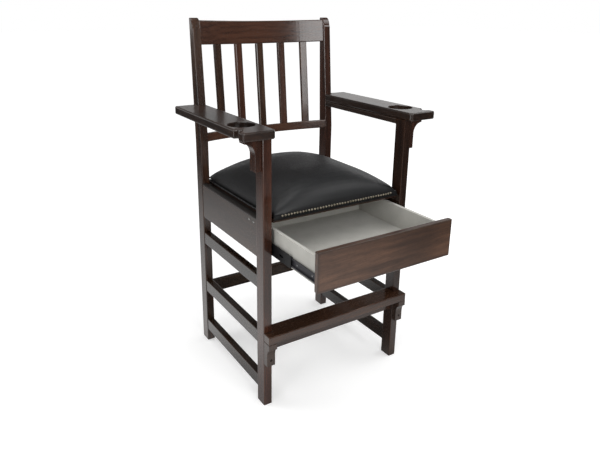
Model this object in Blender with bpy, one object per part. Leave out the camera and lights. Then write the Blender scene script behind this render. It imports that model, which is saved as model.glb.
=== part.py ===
"""Tall hardwood spectator chair with a padded seat, a footrest and a drawer on telescopic slides.

The chair's own frame has X to the viewer's right, the front at -Y and Z up, with Y = 0 midway
between the front and rear legs. The whole chair hangs on one empty, which puts the origin on the
floor under the middle of the chair as it stands with its drawer pulled out.
"""
import math

import bmesh
import bpy
from mathutils import Vector

# Frame of legs, aprons and stretchers, in metres
FRAME_WIDTH = 0.612
FRAME_DEPTH = 0.532
LEG_WIDTH = 0.032
LEG_DEPTH = 0.049
ARM_UNDERSIDE = 0.970
APRON_TOP = 0.694
APRON_HEIGHT = 0.137
APRON_THICKNESS = 0.020
APRON_RECESS = 0.0015
STRETCHER_HEIGHT = 0.049
STRETCHER_THICKNESS = 0.026
STRETCHER_RECESS = 0.002
SIDE_STRETCHER_LEVELS = {"upper": 0.443, "middle": 0.232, "lower": 0.052}
REAR_STRETCHER_LEVEL = 0.212

# Rear posts above the seat
POST_HEIGHT = 1.311
POST_RAKE_START = 0.862
POST_RAKE_DEGREES = 4.75
POST_TOP_DEPTH = 0.030
POST_ROUND_RUN = 0.022
POST_ROUND_DROP = 0.036

# Back rest between the posts
BACK_LEAN_DEGREES = 5.5
BACK_FOOT = 0.857
BACK_TOP_DROP = 0.008
BACK_SETBACK = 0.003
BACK_SAG = 0.048
BACK_RAIL_THICKNESS = 0.020
BACK_LOW_RAIL_HEIGHT = 0.033
BACK_TOP_RAIL_HEIGHT = 0.087
SLAT_WIDTH = 0.030
SLAT_THICKNESS = 0.016
SLAT_END_SPACE = 0.080
SLAT_COUNT = 5

# Arms
ARM_WIDTH = 0.115
ARM_THICKNESS = 0.029
ARM_FRONT_OVERHANG = 0.029
ARM_REAR_SETBACK = 0.014
ARM_INNER_CORNER = 0.014
ARM_OUTER_CORNER = 0.007
ARM_ROUND_OVER = 0.005
ARM_RAIL_HEIGHT = 0.020
ARM_RAIL_THICKNESS = 0.022
CUP_DIAMETER = 0.090
CUP_DEPTH = 0.018
CUP_SETBACK = 0.122
CUP_RIM = 0.002
CUE_NOTCH_WIDTH = 0.030
CUE_NOTCH_DEPTH = 0.022
CUE_NOTCH_SETBACK = 0.047
CUE_NOTCH_LIP = 0.006

# Corbels, each a lip over a cove over a straight foot
ARM_CORBEL = {"reach": 0.058, "foot": 0.022, "lip": 0.015, "cove": 0.038, "height": 0.108}
ARM_CORBEL_THICKNESS = 0.036
ARM_CORBEL_SETBACK = 0.009
FOOT_CORBEL = {"reach": 0.036, "foot": 0.022, "lip": 0.021, "cove": 0.028, "height": 0.090}
FOOT_SCREW_DIAMETER = 0.009
FOOT_SCREW_DEPTH = 0.008
FOOT_SCREW_DROP = 0.069

# Footrest
FOOTREST_TOP = 0.293
FOOTREST_THICKNESS = 0.031
FOOTREST_OVERHANG = 0.037
FOOTREST_DEPTH = 0.075
FRONT_STRETCHER_SETBACK = 0.008

# Seat
SEAT_BOARD_THICKNESS = 0.012
SEAT_BOARD_SINK = 0.010
SEAT_SIDE_GAP = 0.006
SEAT_FRONT_SETBACK = 0.004
SEAT_REAR_SETBACK = 0.008
SEAT_BOARD_INSET = 0.003
CUSHION_EDGE = 0.010
CUSHION_CROWN = 0.090
CUSHION_TUCK = 0.004
CUSHION_CORNER = 0.007
CUSHION_SIDE_EXPONENT = 2.2
CUSHION_FRONT_EXPONENT = 6.0
CUSHION_CORNER_EXPONENT = 10.0
CLEAT_HEIGHT = 0.020
CLEAT_WIDTH = 0.026

# Drawer and its telescopic slides
DRAWER_OPEN = 0.260
DRAWER_FRONT_HEIGHT = 0.132
DRAWER_FRONT_THICKNESS = 0.019
DRAWER_SIDE_GAP = 0.003
DRAWER_TOP_GAP = 0.002
BOX_WALL = 0.012
BOX_HEIGHT = 0.092
BOX_TOP_GAP = 0.006
BOX_REAR_GAP = 0.036
BOX_BOTTOM_THICKNESS = 0.006
BOX_BOTTOM_RISE = 0.004
BOX_GROOVE_DEPTH = 0.005
SLIDE_RISE = 0.025
SLIDE_HEIGHT = 0.045
SLIDE_THICKNESS = 0.0131
SLIDE_CABINET_REACH = 0.0092
SLIDE_MIDDLE_WEB = 0.0046
SLIDE_MIDDLE_REACH = 0.0115
SLIDE_DRAWER_EDGE = 0.0072
SLIDE_STEEL = 0.0012
SLIDE_LIP = 0.0024
SLIDE_PLAY = 0.0004
SLIDE_SETBACK = 0.003
SLIDE_REAR_GAP = 0.008
SLIDE_BLOCK_HEIGHT = 0.055
SLIDE_SLOT_LENGTH = 0.024
SLIDE_SLOT_HEIGHT = 0.008
SLIDE_SLOT_END = 0.058
SLIDE_SLOT_COUNT = 3

# Fits and finish
JOINT_GAP = 0.0003
EDGE_EASE = 0.003
THIN_EDGE_EASE = 0.001
EASE_STEPS = 3
ARC_STEPS = 9
RAIL_STEPS = 40
CUSHION_STEPS = 22

# Faces and levels that several pieces share
OUTER_X = FRAME_WIDTH / 2
INNER_X = OUTER_X - LEG_WIDTH
FRONT_Y = -FRAME_DEPTH / 2
REAR_Y = FRAME_DEPTH / 2
FRONT_LEG_BACK = FRONT_Y + LEG_DEPTH
REAR_LEG_FRONT = REAR_Y - LEG_DEPTH
APRON_INNER_X = OUTER_X - APRON_RECESS - APRON_THICKNESS
REAR_APRON_FRONT = REAR_Y - APRON_RECESS - APRON_THICKNESS
SEAT_UNDERSIDE = APRON_TOP - SEAT_BOARD_SINK
SEAT_HALF_WIDTH = INNER_X - SEAT_SIDE_GAP
SEAT_FRONT = FRONT_Y + SEAT_FRONT_SETBACK
SEAT_REAR = REAR_Y - SEAT_REAR_SETBACK
CLEAT_BOTTOM = SEAT_UNDERSIDE - JOINT_GAP - CLEAT_HEIGHT
BOX_TOP = CLEAT_BOTTOM - BOX_TOP_GAP
BOX_BOTTOM = BOX_TOP - BOX_HEIGHT
BOX_HALF_WIDTH = INNER_X - SLIDE_THICKNESS - 2 * JOINT_GAP
DRAWER_FRONT_BACK = FRONT_Y + DRAWER_FRONT_THICKNESS
BOX_FRONT = DRAWER_FRONT_BACK + JOINT_GAP
BOX_REAR = REAR_APRON_FRONT - BOX_REAR_GAP
SLIDE_LEVEL = BOX_BOTTOM + SLIDE_RISE
SLIDE_FRONT = DRAWER_FRONT_BACK + SLIDE_SETBACK
SLIDE_REAR = BOX_REAR - SLIDE_REAR_GAP
POST_SLOPE = math.tan(math.radians(POST_RAKE_DEGREES))
BACK_LEAN = math.radians(BACK_LEAN_DEGREES)
BACK_HEIGHT = (POST_HEIGHT - BACK_TOP_DROP - BACK_FOOT) / math.cos(BACK_LEAN)
SLAT_LENGTH = BACK_HEIGHT - BACK_LOW_RAIL_HEIGHT - BACK_TOP_RAIL_HEIGHT - 2 * JOINT_GAP
SLAT_PITCH = 2 * (INNER_X - SLAT_END_SPACE) / (SLAT_COUNT - 1)
SIDES = {"l": -1, "r": 1}


def clear_scene():
    for item in list(bpy.data.objects):
        bpy.data.objects.remove(item)


def finish(name, colour, roughness, metallic=0.0):
    """A plain surface finish."""
    material = bpy.data.materials.new(name)
    material.use_nodes = True
    shader = material.node_tree.nodes["Principled BSDF"]
    shader.inputs["Base Color"].default_value = (*colour, 1.0)
    shader.inputs["Roughness"].default_value = roughness
    shader.inputs["Metallic"].default_value = metallic
    return material


def mount_point(name, place, parent=None):
    """An empty that carries a group of pieces."""
    empty = bpy.data.objects.new(name, None)
    bpy.context.collection.objects.link(empty)
    empty.location = place
    empty.parent = parent
    return empty


def add_piece(name, shape, place, material, parent, turn=(0.0, 0.0, 0.0)):
    """Makes an object from an edit mesh, with its faces turned outwards."""
    bmesh.ops.recalc_face_normals(shape, faces=shape.faces)
    mesh = bpy.data.meshes.new(name)
    shape.to_mesh(mesh)
    shape.free()
    mesh.materials.append(material)
    piece = bpy.data.objects.new(name, mesh)
    bpy.context.collection.objects.link(piece)
    piece.location = place
    piece.rotation_euler = turn
    piece.parent = parent
    return piece


def block(size, eased="", ease=EDGE_EASE):
    """A box about its own middle, with the edges that run along the named axes rounded."""
    shape = bmesh.new()
    bmesh.ops.create_cube(shape, size=1.0)
    bmesh.ops.scale(shape, vec=size, verts=shape.verts)
    edges = []
    for edge in shape.edges:
        run = edge.verts[1].co - edge.verts[0].co
        axis = max(range(3), key=lambda i: abs(run[i]))
        if "xyz"[axis] in eased:
            edges.append(edge)
    if edges:
        bmesh.ops.bevel(shape, geom=edges, offset=ease, segments=EASE_STEPS, profile=0.5, affect="EDGES")
    return shape


def board(name, low, high, material, parent, eased="", ease=EDGE_EASE):
    """A straight board between two corners."""
    low, high = Vector(map(min, low, high)), Vector(map(max, low, high))
    return add_piece(name, block(high - low, eased, ease), (low + high) / 2, material, parent)


def prism(outline, sweep):
    """A closed outline of 3-D points, all in one plane, pushed along the sweep vector."""
    shape = bmesh.new()
    face = shape.faces.new([shape.verts.new(point) for point in outline])
    pushed = bmesh.ops.extrude_face_region(shape, geom=[face])
    moved = [item for item in pushed["geom"] if isinstance(item, bmesh.types.BMVert)]
    bmesh.ops.translate(shape, vec=sweep, verts=moved)
    return shape


def ease_sharp_edges(piece, width, steps=EASE_STEPS):
    """Rounds the outer corners of a piece; inner ones, which seat on other pieces, stay sharp."""
    shape = bmesh.new()
    shape.from_mesh(piece.data)
    eased = shape.edges.layers.float.new("bevel_weight_edge")
    for edge in shape.edges:
        if edge.is_convex and edge.calc_face_angle() > math.radians(40):
            edge[eased] = 1.0
    shape.to_mesh(piece.data)
    shape.free()
    bevel = piece.modifiers.new("eased edges", "BEVEL")
    bevel.width = width
    bevel.segments = steps
    bevel.limit_method = "WEIGHT"


def arc(centre, radii, start, end, steps=ARC_STEPS):
    """Points on an elliptic arc, angles in degrees, both ends included."""
    points = []
    for i in range(steps + 1):
        angle = math.radians(start + (end - start) * i / steps)
        points.append((centre[0] + radii[0] * math.cos(angle), centre[1] + radii[1] * math.sin(angle)))
    return points


def add_cutter(name, shape, place, parent):
    """A hidden solid that is cut out of others."""
    bmesh.ops.recalc_face_normals(shape, faces=shape.faces)
    cutter = bpy.data.objects.new(name, bpy.data.meshes.new(name))
    shape.to_mesh(cutter.data)
    shape.free()
    bpy.context.collection.objects.link(cutter)
    cutter.location = place
    cutter.parent = parent
    cutter.hide_render = True
    cutter.display_type = "WIRE"
    return cutter


def turned_cutter(name, profile, steps, place, parent):
    """A cutter turned about Z from a profile of radii and heights."""
    shape = bmesh.new()
    rim = [shape.verts.new((reach, 0.0, height)) for reach, height in profile]
    edges = [shape.edges.new(pair) for pair in zip(rim, rim[1:])]
    bmesh.ops.spin(shape, geom=rim + edges, cent=(0, 0, 0), axis=(0, 0, 1), angle=math.tau,
                   steps=steps, use_merge=True, dvec=(0, 0, 0))
    bmesh.ops.remove_doubles(shape, verts=shape.verts, dist=JOINT_GAP / 10)
    return add_cutter(name, shape, place, parent)


def cut_away(piece, title, cutter):
    cut = piece.modifiers.new(title, "BOOLEAN")
    cut.operation = "DIFFERENCE"
    cut.solver = "EXACT"
    cut.object = cutter


def post_front(z):
    """Y of a rear post's front face at height z."""
    return REAR_LEG_FRONT + max(0.0, z - POST_RAKE_START) * POST_SLOPE


def add_front_legs(wood, parent):
    for side, sign in SIDES.items():
        low = (sign * INNER_X, FRONT_Y, 0.0)
        high = (sign * OUTER_X, FRONT_LEG_BACK, ARM_UNDERSIDE - JOINT_GAP)
        board(f"front_leg_{side}", low, high, wood, parent, eased="z")


def add_rear_posts(wood, parent):
    """Rear leg and back post in one, raked and tapered above the seat, with a rounded front top corner."""
    top_front = post_front(POST_HEIGHT)
    round_over = arc((top_front + POST_ROUND_RUN, POST_HEIGHT - POST_ROUND_DROP),
                     (POST_ROUND_RUN, POST_ROUND_DROP), 90, 180)
    # the round-over starts on the raked front face, a little ahead of the top's front line
    start = POST_HEIGHT - POST_ROUND_DROP
    round_over[-1] = (post_front(start), start)
    profile = [(REAR_LEG_FRONT, 0.0), (REAR_Y, 0.0), (REAR_Y, POST_RAKE_START),
               (top_front + POST_TOP_DEPTH, POST_HEIGHT), *round_over, (REAR_LEG_FRONT, POST_RAKE_START)]
    outline = [(0.0, y, z) for y, z in profile]
    for side, sign in SIDES.items():
        shape = prism(outline, (LEG_WIDTH, 0.0, 0.0))
        place = (min(sign * INNER_X, sign * OUTER_X), 0.0, 0.0)
        ease_sharp_edges(add_piece(f"rear_post_{side}", shape, place, wood, parent), EDGE_EASE)


def add_aprons(wood, parent):
    bottom = APRON_TOP - APRON_HEIGHT
    for side, sign in SIDES.items():
        low = (sign * APRON_INNER_X, FRONT_LEG_BACK + JOINT_GAP, bottom)
        high = (sign * (OUTER_X - APRON_RECESS), REAR_LEG_FRONT - JOINT_GAP, APRON_TOP)
        board(f"side_apron_{side}", low, high, wood, parent, eased="y")
    low = (JOINT_GAP - INNER_X, REAR_APRON_FRONT, bottom)
    high = (INNER_X - JOINT_GAP, REAR_APRON_FRONT + APRON_THICKNESS, SEAT_UNDERSIDE - JOINT_GAP)
    board("rear_apron", low, high, wood, parent, eased="x")


def add_stretchers(wood, parent):
    outer = OUTER_X - STRETCHER_RECESS
    for side, sign in SIDES.items():
        for level, bottom in SIDE_STRETCHER_LEVELS.items():
            low = (sign * (outer - STRETCHER_THICKNESS), FRONT_LEG_BACK + JOINT_GAP, bottom)
            high = (sign * outer, REAR_LEG_FRONT - JOINT_GAP, bottom + STRETCHER_HEIGHT)
            board(f"side_stretcher_{level}_{side}", low, high, wood, parent, eased="y")
    span = INNER_X - JOINT_GAP
    middle = (REAR_LEG_FRONT + REAR_Y) / 2
    low = (-span, middle - STRETCHER_THICKNESS / 2, REAR_STRETCHER_LEVEL)
    high = (span, middle + STRETCHER_THICKNESS / 2, REAR_STRETCHER_LEVEL + STRETCHER_HEIGHT)
    board("rear_stretcher", low, high, wood, parent, eased="x")
    top = FOOTREST_TOP - FOOTREST_THICKNESS - JOINT_GAP
    front = FRONT_Y + FRONT_STRETCHER_SETBACK
    low = (-span, front, top - STRETCHER_HEIGHT)
    high = (span, front + STRETCHER_THICKNESS, top)
    board("front_stretcher", low, high, wood, parent, eased="x")


def corbel_profile(size):
    """Reach and drop of a corbel's outline, from its top inner corner: lip, cove, straight foot."""
    cove = arc((size["reach"], size["lip"] + size["cove"]),
               (size["reach"] - size["foot"], size["cove"]), 270, 180)
    return [(0.0, 0.0), (size["reach"], 0.0), *cove, (size["foot"], size["height"]), (0.0, size["height"])]


def add_footrest(wood, parent):
    """Tread board notched round the front legs, carried by the front stretcher and two corbels."""
    nose = FRONT_Y - FOOTREST_OVERHANG
    notch = FRONT_Y - JOINT_GAP
    neck = INNER_X - JOINT_GAP
    plan = [(-OUTER_X, nose), (OUTER_X, nose), (OUTER_X, notch), (neck, notch), (neck, nose + FOOTREST_DEPTH),
            (-neck, nose + FOOTREST_DEPTH), (-neck, notch), (-OUTER_X, notch)]
    bottom = FOOTREST_TOP - FOOTREST_THICKNESS
    shape = prism([(x, y, 0.0) for x, y in plan], (0.0, 0.0, FOOTREST_THICKNESS))
    ease_sharp_edges(add_piece("footrest_board", shape, (0.0, 0.0, bottom), wood, parent), EDGE_EASE)
    outline = [(0.0, -reach, -drop) for reach, drop in corbel_profile(FOOT_CORBEL)]
    radius = FOOT_SCREW_DIAMETER / 2
    hole = [(0.0, -FOOT_SCREW_DEPTH), (radius, -FOOT_SCREW_DEPTH), (radius, radius), (0.0, radius)]
    for side, sign in SIDES.items():
        shape = prism(outline, (LEG_WIDTH, 0.0, 0.0))
        place = Vector((min(sign * INNER_X, sign * OUTER_X), FRONT_Y - JOINT_GAP, bottom - JOINT_GAP))
        corbel = add_piece(f"footrest_corbel_{side}", shape, place, wood, parent)
        ease_sharp_edges(corbel, THIN_EDGE_EASE)
        face = place + Vector((LEG_WIDTH / 2, -FOOT_CORBEL["foot"], -FOOT_SCREW_DROP))
        cutter = turned_cutter(f"screw_cutter_{side}", hole, 2 * ARC_STEPS, face, parent)
        cutter.rotation_euler = (math.radians(90), 0.0, 0.0)
        cut_away(corbel, "screw hole", cutter)


def arm_outline():
    """Plan of the right arm from its inner edge outwards and from its front end back."""
    length = REAR_Y - ARM_REAR_SETBACK - (FRONT_Y - ARM_FRONT_OVERHANG)
    seat_of_post = post_front(ARM_UNDERSIDE) - JOINT_GAP - (FRONT_Y - ARM_FRONT_OVERHANG)
    cheek = LEG_WIDTH + JOINT_GAP
    inner, outer, lip = ARM_INNER_CORNER, ARM_OUTER_CORNER, CUE_NOTCH_LIP
    half = CUE_NOTCH_WIDTH / 2
    notch_end = ARM_WIDTH - CUE_NOTCH_DEPTH + half
    near, far = CUE_NOTCH_SETBACK - half, CUE_NOTCH_SETBACK + half
    return [
        *arc((inner, inner), (inner, inner), 180, 270),
        *arc((ARM_WIDTH - outer, outer), (outer, outer), 270, 360),
        *arc((ARM_WIDTH - lip, near - lip), (lip, lip), 0, 90),
        *arc((notch_end, CUE_NOTCH_SETBACK), (half, half), 270, 90, 2 * ARC_STEPS),
        *arc((ARM_WIDTH - lip, far + lip), (lip, lip), 270, 360),
        *arc((ARM_WIDTH - outer, length - outer), (outer, outer), 0, 90),
        (cheek, length), (cheek, seat_of_post), (0.0, seat_of_post),
    ]


def add_arms(wood, parent):
    """Arm boards with cup wells and cue notches, rails under their inner edges, corbels on the front legs."""
    front = FRONT_Y - ARM_FRONT_OVERHANG
    rail_top = ARM_UNDERSIDE - JOINT_GAP
    rail_bottom = rail_top - ARM_RAIL_HEIGHT
    plan = arm_outline()
    radius = CUP_DIAMETER / 2
    well = [(0.0, -CUP_DEPTH), (radius, -CUP_DEPTH), (radius, -CUP_RIM), (radius + 2 * CUP_RIM, CUP_RIM),
            (0.0, CUP_RIM)]
    for side, sign in SIDES.items():
        shape = prism([(sign * x, y, 0.0) for x, y in plan], (0.0, 0.0, ARM_THICKNESS))
        # the face that meets the post leans back with it
        for vert in shape.verts:
            if vert.co.z > 0.0 and abs(vert.co.y - plan[-1][1]) < JOINT_GAP / 10:
                vert.co.y += ARM_THICKNESS * POST_SLOPE
        place = (sign * INNER_X, front, ARM_UNDERSIDE)
        arm = add_piece(f"arm_board_{side}", shape, place, wood, parent)
        ease_sharp_edges(arm, ARM_ROUND_OVER)
        centre = (sign * (INNER_X + ARM_WIDTH / 2), front + CUP_SETBACK, ARM_UNDERSIDE + ARM_THICKNESS)
        cut_away(arm, "cup well", turned_cutter(f"cup_cutter_{side}", well, 6 * ARC_STEPS, centre, parent))
        low = (sign * INNER_X, FRONT_LEG_BACK + JOINT_GAP, rail_bottom)
        high = (sign * (INNER_X + ARM_RAIL_THICKNESS), post_front(rail_bottom) - JOINT_GAP, rail_top)
        board(f"arm_rail_{side}", low, high, wood, parent, eased="y")
        outline = [(sign * reach, 0.0, -drop) for reach, drop in corbel_profile(ARM_CORBEL)]
        shape = prism(outline, (0.0, ARM_CORBEL_THICKNESS, 0.0))
        place = (sign * (OUTER_X + JOINT_GAP), FRONT_Y + ARM_CORBEL_SETBACK, rail_top)
        ease_sharp_edges(add_piece(f"arm_corbel_{side}", shape, place, wood, parent), THIN_EDGE_EASE)


def back_sag(x):
    """How far the back rails bow behind their ends at x."""
    return BACK_SAG * (1.0 - (x / INNER_X) ** 2)


def back_slope(x):
    """Angle that the bowed rails make with X at x."""
    return math.atan(-2.0 * BACK_SAG * x / INNER_X ** 2)


def bowed_rail(height):
    """A rail between the posts, bowed backwards, in the back's own leaning frame."""
    shape = bmesh.new()
    half_span = INNER_X - JOINT_GAP
    ease = EDGE_EASE
    rings = []
    for i in range(RAIL_STEPS + 1):
        x = half_span * (2 * i / RAIL_STEPS - 1)
        front = back_sag(x)
        rear = front + BACK_RAIL_THICKNESS / math.cos(back_slope(x))
        corners = [(rear - ease, ease), (rear - ease, height - ease), (front + ease, height - ease),
                   (front + ease, ease)]
        section = []
        for corner, start in zip(corners, (-90, 0, 90, 180)):
            section += arc(corner, (ease, ease), start, start + 90, EASE_STEPS)
        rings.append([shape.verts.new((x, y, z)) for y, z in section])
    for ring, following in zip(rings, rings[1:]):
        for j in range(len(ring)):
            shape.faces.new((ring[j - 1], ring[j], following[j], following[j - 1]))
    shape.faces.new(rings[0])
    shape.faces.new(rings[-1])
    return shape


def add_back(wood, parent):
    """Two bowed rails and the slats between them, all leaning back together."""
    foot = mount_point("back_rest", (0.0, post_front(BACK_FOOT) + BACK_SETBACK, BACK_FOOT), parent)
    foot.rotation_euler = (-BACK_LEAN, 0.0, 0.0)
    slat_bottom = BACK_LOW_RAIL_HEIGHT + JOINT_GAP
    slat_top = slat_bottom + SLAT_LENGTH
    add_piece("back_low_rail", bowed_rail(BACK_LOW_RAIL_HEIGHT), (0.0, 0.0, 0.0), wood, foot)
    add_piece("back_top_rail", bowed_rail(BACK_TOP_RAIL_HEIGHT), (0.0, 0.0, slat_top + JOINT_GAP), wood, foot)
    for i in range(SLAT_COUNT):
        x = SLAT_PITCH * (i - (SLAT_COUNT - 1) / 2)
        turn = back_slope(x)
        middle = back_sag(x) + BACK_RAIL_THICKNESS / math.cos(turn) / 2
        shape = block((SLAT_WIDTH, SLAT_THICKNESS, SLAT_LENGTH), eased="z")
        place = (x, middle, (slat_bottom + slat_top) / 2)
        add_piece(f"back_slat_{i + 1}", shape, place, wood, foot, turn=(0.0, 0.0, turn))


def cushion_shape(half_width, half_depth):
    """Pillow form: thin edges tucked in at the board, drawn-in corners, a crown that falls to all sides."""
    shape = bmesh.new()
    marks = [math.sin(math.radians(90) * (2 * i / CUSHION_STEPS - 1)) for i in range(CUSHION_STEPS + 1)]
    rows = []
    for v in marks:
        row = []
        for u in marks:
            x = u * (half_width - CUSHION_CORNER * abs(v) ** CUSHION_CORNER_EXPONENT)
            y = v * (half_depth - CUSHION_CORNER * abs(u) ** CUSHION_CORNER_EXPONENT)
            fall = (1.0 - abs(u) ** CUSHION_SIDE_EXPONENT) * (1.0 - abs(v) ** CUSHION_FRONT_EXPONENT)
            row.append(shape.verts.new((x, y, CUSHION_EDGE + CUSHION_CROWN * math.sqrt(fall))))
        rows.append(row)
    for near, far in zip(rows, rows[1:]):
        for j in range(CUSHION_STEPS):
            shape.faces.new((near[j], near[j + 1], far[j + 1], far[j]))
    rim = rows[0][:-1] + [row[-1] for row in rows[:-1]] + rows[-1][:0:-1] + [row[0] for row in rows[:0:-1]]
    tuck = Vector((1.0 - CUSHION_TUCK / half_width, 1.0 - CUSHION_TUCK / half_depth, 0.0))
    foot = [shape.verts.new(vert.co * tuck) for vert in rim]
    for j in range(len(rim)):
        shape.faces.new((rim[j - 1], rim[j], foot[j], foot[j - 1]))
    shape.faces.new(foot)
    return shape


def add_seat(wood, leather, parent):
    """Seat board on the rear apron and on cleats inside the side aprons, with the cushion on it."""
    board_top = SEAT_UNDERSIDE + SEAT_BOARD_THICKNESS
    inset = SEAT_BOARD_INSET
    low = (inset - SEAT_HALF_WIDTH, SEAT_FRONT + inset, SEAT_UNDERSIDE)
    high = (SEAT_HALF_WIDTH - inset, SEAT_REAR - inset, board_top)
    board("seat_board", low, high, wood, parent, eased="z")
    cushion = cushion_shape(SEAT_HALF_WIDTH, (SEAT_REAR - SEAT_FRONT) / 2)
    place = (0.0, (SEAT_FRONT + SEAT_REAR) / 2, board_top + JOINT_GAP)
    pad = add_piece("seat_cushion", cushion, place, leather, parent)
    pad.data.shade_smooth()
    pad.data.set_sharp_from_angle(angle=math.radians(50))
    cleat_top = SEAT_UNDERSIDE - JOINT_GAP
    cleat_outer = APRON_INNER_X - JOINT_GAP
    cleat_inner = cleat_outer - CLEAT_WIDTH
    for side, sign in SIDES.items():
        low = (sign * cleat_inner, FRONT_LEG_BACK + JOINT_GAP, CLEAT_BOTTOM)
        high = (sign * cleat_outer, REAR_LEG_FRONT - JOINT_GAP, cleat_top)
        board(f"seat_cleat_{side}", low, high, wood, parent, eased="y", ease=THIN_EDGE_EASE)


def mirrored(half):
    """A section that is the same above and below its middle, from its upper half."""
    return half + [(reach, -height) for reach, height in reversed(half)]


def slide_sections():
    """Sections of the three nested channels of a slide: reach from the leg's face, height from the middle."""
    steel, lip, play = SLIDE_STEEL, SLIDE_LIP, SLIDE_PLAY
    top = SLIDE_HEIGHT / 2
    depth = SLIDE_THICKNESS
    # cabinet channel: web on the leg, flanges with lips turned in
    mouth = SLIDE_CABINET_REACH
    cabinet = mirrored([(0.0, top), (mouth, top), (mouth, top - steel - lip),
                        (mouth - steel, top - steel - lip), (mouth - steel, top - steel),
                        (steel, top - steel)])
    # middle channel: its web's edges run behind those lips, its own flanges face the drawer
    tongue = top - steel - play
    web = SLIDE_MIDDLE_WEB
    wall = tongue - lip - steel
    reach = SLIDE_MIDDLE_REACH
    middle = mirrored([(web, tongue), (web + steel, tongue), (web + steel, wall), (reach, wall),
                       (reach, wall - steel - lip), (reach - steel, wall - steel - lip),
                       (reach - steel, wall - steel), (web + steel, wall - steel)])
    # drawer channel: its web is on the drawer, its turned-out edges run behind the middle channel's lips
    edge = wall - steel - play
    inner = edge - lip - steel
    base = SLIDE_DRAWER_EDGE
    drawer = mirrored([(depth, inner), (base + steel, inner), (base + steel, edge), (base, edge),
                       (base, inner - steel), (depth - steel, inner - steel)])
    return {"cabinet": cabinet, "middle": middle, "drawer": drawer}


def slot_cutter(name, across, pitch, place, parent):
    """A row of round-ended slots, cut across X."""
    radius = SLIDE_SLOT_HEIGHT / 2
    straight = SLIDE_SLOT_LENGTH / 2 - radius
    outline = (arc((straight, 0.0), (radius, radius), -90, 90)
               + arc((-straight, 0.0), (radius, radius), 90, 270))
    shape = prism([(0.0, y, z) for y, z in outline], (across, 0.0, 0.0))
    cutter = add_cutter(name, shape, place, parent)
    row = cutter.modifiers.new("row of slots", "ARRAY")
    row.count = SLIDE_SLOT_COUNT
    row.use_relative_offset = False
    row.use_constant_offset = True
    row.constant_offset_displace = (0.0, pitch, 0.0)
    return cutter


def add_slides(wood, steel, groups):
    """Telescopic slides on the legs' inner faces, with a packing block behind each on the apron."""
    sections = slide_sections()
    length = SLIDE_REAR - SLIDE_FRONT
    slot_pitch = (length - 2 * SLIDE_SLOT_END) / (SLIDE_SLOT_COUNT - 1)
    opened = {"cabinet": 0.0, "middle": DRAWER_OPEN / 2, "drawer": DRAWER_OPEN}
    for side, sign in SIDES.items():
        half = SLIDE_BLOCK_HEIGHT / 2
        low = (sign * INNER_X, FRONT_LEG_BACK + JOINT_GAP, SLIDE_LEVEL - half)
        high = (sign * (APRON_INNER_X - JOINT_GAP), REAR_LEG_FRONT - JOINT_GAP, SLIDE_LEVEL + half)
        board(f"slide_block_{side}", low, high, wood, groups["cabinet"])
        for member, section in sections.items():
            outline = [(-sign * reach, 0.0, height) for reach, height in section]
            shape = prism(outline, (0.0, length, 0.0))
            group = groups[member]
            place = Vector((sign * (INNER_X - JOINT_GAP), SLIDE_FRONT - opened[member], SLIDE_LEVEL))
            if member != "cabinet":
                place -= group.location
            channel = add_piece(f"slide_{member}_{side}", shape, place, steel, group)
            if member == "middle":
                slot = place + Vector((-sign * (SLIDE_MIDDLE_WEB - SLIDE_STEEL), SLIDE_SLOT_END, 0.0))
                across = -sign * 3 * SLIDE_STEEL
                cutter = slot_cutter(f"slot_cutter_{side}", across, slot_pitch, slot, group)
                cut_away(channel, "slots", cutter)


def add_drawer(wood, felt, group):
    """Lined box with its bottom in grooves, behind a taller inset front."""
    shift = Vector((0.0, DRAWER_OPEN, 0.0)) + group.location
    wall, groove = BOX_WALL, BOX_GROOVE_DEPTH
    inside = BOX_HALF_WIDTH - wall
    floor = BOX_BOTTOM + BOX_BOTTOM_RISE
    slot = (floor - JOINT_GAP, floor + BOX_BOTTOM_THICKNESS + JOINT_GAP)

    def placed(name, low, high, material, **easing):
        board(name, Vector(low) - shift, Vector(high) - shift, material, group, **easing)

    half = INNER_X - DRAWER_SIDE_GAP
    front_top = SEAT_UNDERSIDE - DRAWER_TOP_GAP
    placed("drawer_front", (-half, FRONT_Y, front_top - DRAWER_FRONT_HEIGHT),
           (half, DRAWER_FRONT_BACK, front_top), wood, eased="xyz")
    for side, sign in SIDES.items():
        depth = groove + JOINT_GAP
        section = [(0.0, BOX_BOTTOM), (wall, BOX_BOTTOM), (wall, BOX_TOP), (0.0, BOX_TOP),
                   (0.0, slot[1]), (depth, slot[1]), (depth, slot[0]), (0.0, slot[0])]
        outline = [(sign * (inside + reach), 0.0, height) for reach, height in section]
        shape = prism(outline, (0.0, BOX_REAR - BOX_FRONT, 0.0))
        add_piece(f"drawer_side_{side}", shape, Vector((0.0, BOX_FRONT, 0.0)) - shift, felt, group)
    span = inside - JOINT_GAP
    ends = {"drawer_box_front": (BOX_FRONT, BOX_FRONT + wall), "drawer_back": (BOX_REAR - wall, BOX_REAR)}
    for name, (near, far) in ends.items():
        placed(name, (-span, near, slot[1]), (span, far, BOX_TOP), felt)
    reach = inside + groove
    placed("drawer_bottom", (-reach, BOX_FRONT, floor), (reach, BOX_REAR, floor + BOX_BOTTOM_THICKNESS), felt)


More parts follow.
